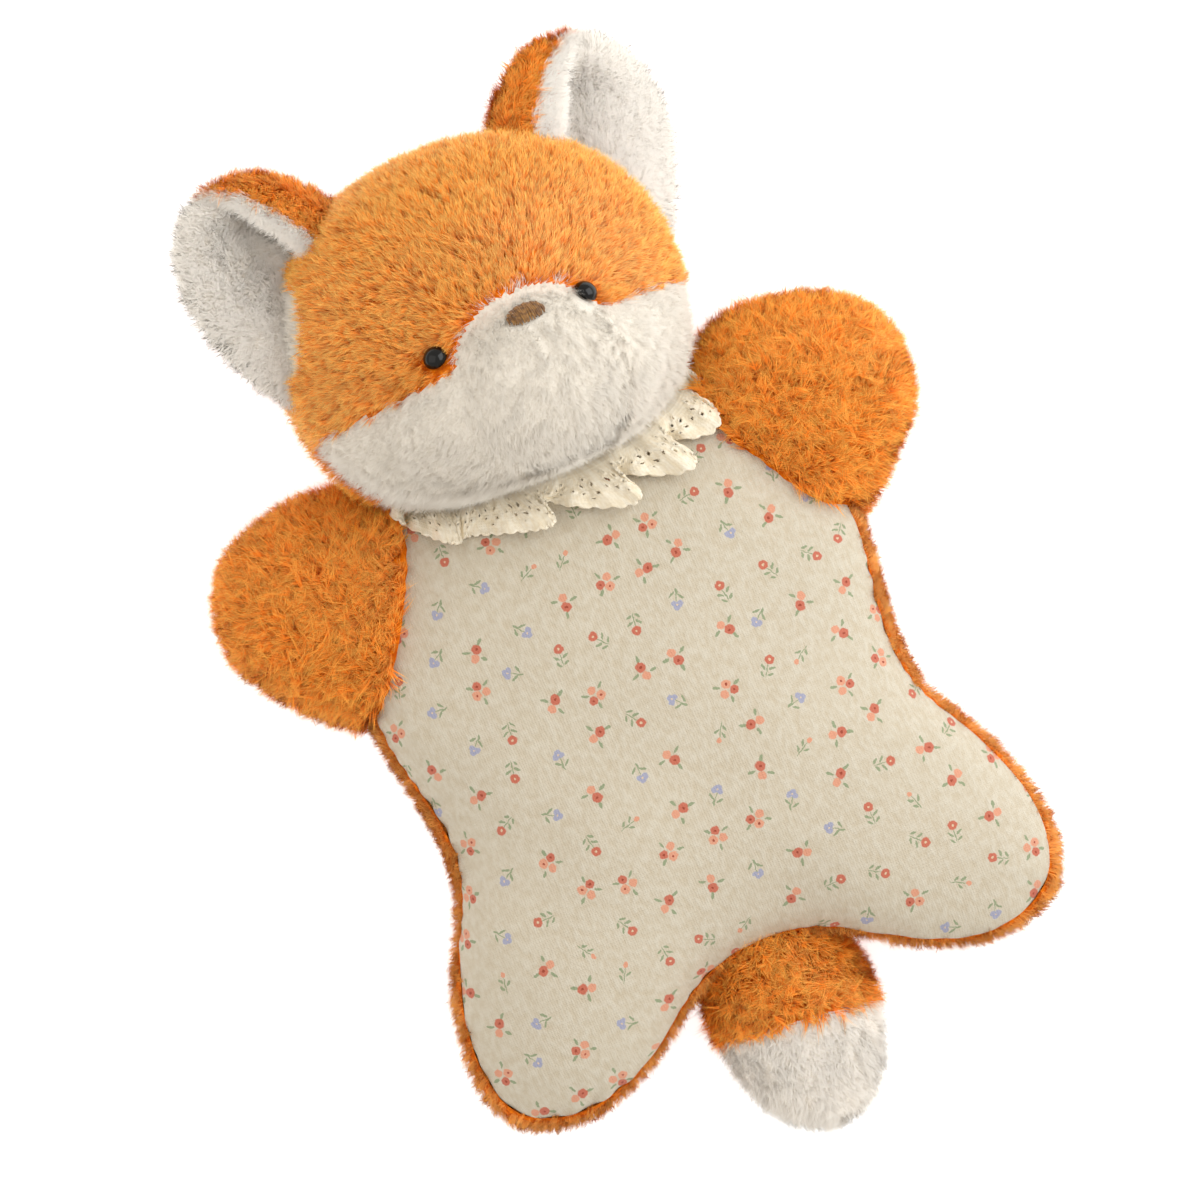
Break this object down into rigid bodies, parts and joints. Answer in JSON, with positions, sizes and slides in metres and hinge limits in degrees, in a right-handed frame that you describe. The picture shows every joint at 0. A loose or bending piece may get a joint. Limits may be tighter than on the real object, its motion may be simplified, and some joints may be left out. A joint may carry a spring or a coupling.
{
  "type": "plush fox",
  "caption": "Flat stuffed comforter fox lying on its back, with a printed cotton front, plush head, arms, ears and tail on sewn joints, and a lace collar.",
  "frame": {"origin": "on the flat of the back, under the middle of the body", "axes": "+Z out of the front, +Y from the body to the head, +X to the viewer's right"},
  "size_m": [0.2902, 0.4432, 0.1368],
  "materials": {
    "printed_cotton": "crinkled cream double gauze with small scattered flowers",
    "orange_plush": "short curly orange pile",
    "white_plush": "fluffy white pile",
    "stuffing": "loose polyester fibre",
    "cotton_lace": "cream eyelet lace",
    "brown_thread": "satin stitch",
    "black_gloss": "polished black",
    "washer_plastic": "plain white plastic"
  },
  "bodies": {
    "torso": {"front_panel": "printed_cotton", "back_panel": "orange_plush", "body_stuffing": "stuffing", "lace_collar": "cotton_lace"},
    "head": {"head_front": "orange_plush", "head_back": "orange_plush", "cheek_left": "white_plush", "cheek_right": "white_plush", "head_stuffing": "stuffing", "muzzle": "white_plush", "muzzle_stuffing": "stuffing", "nose": "brown_thread", "eye_left": "black_gloss", "eye_right": "black_gloss", "eye_washer_left": "washer_plastic", "eye_washer_right": "washer_plastic"},
    "ear_left": {"ear_left_back": "orange_plush", "ear_left_lining": "white_plush"},
    "ear_right": {"ear_right_back": "orange_plush", "ear_right_lining": "white_plush"},
    "arm_left": {"arm_left_front": "orange_plush", "arm_left_back": "orange_plush", "arm_left_stuffing": "stuffing"},
    "arm_right": {"arm_right_front": "orange_plush", "arm_right_back": "orange_plush", "arm_right_stuffing": "stuffing"},
    "tail": {"tail_base": "orange_plush", "tail_tip": "white_plush", "tail_stuffing": "stuffing"}
  },
  "joints": [
    {"name": "head_turn", "type": "hinge", "parent": "torso", "child": "head", "pos_m": [-0.002, 0.183, 0.05837], "axis": [0, 1, 0], "range_deg": [-40, 10], "stiffness_Nm_per_rad": 0.5},
    {"name": "ear_left_fold", "type": "hinge", "parent": "head", "child": "ear_left", "pos_m": [-0.05802, 0.22, 0.07338], "axis": [0.8824, 0.4067, -0.2364], "range_deg": [-15, 15], "stiffness_Nm_per_rad": 0.05},
    {"name": "ear_right_fold", "type": "hinge", "parent": "head", "child": "ear_right", "pos_m": [0.05402, 0.22, 0.04336], "axis": [0.8824, -0.4067, -0.2364], "range_deg": [-15, 15], "stiffness_Nm_per_rad": 0.05},
    {"name": "arm_left_flap", "type": "hinge", "parent": "torso", "child": "arm_left", "pos_m": [-0.06289, 0.0736, 0.0335], "axis": [0.5358, 0.8443, 0], "range_deg": [-25, 25], "stiffness_Nm_per_rad": 0.15},
    {"name": "arm_right_flap", "type": "hinge", "parent": "torso", "child": "arm_right", "pos_m": [0.06123, 0.07667, 0.0335], "axis": [0.4131, -0.9107, 0], "range_deg": [-25, 25], "stiffness_Nm_per_rad": 0.15},
    {"name": "tail_swing", "type": "hinge", "parent": "torso", "child": "tail", "pos_m": [0.0015, -0.082, 0.0255], "axis": [0, 0, 1], "range_deg": [-15, 15], "stiffness_Nm_per_rad": 0.1}
  ]
}
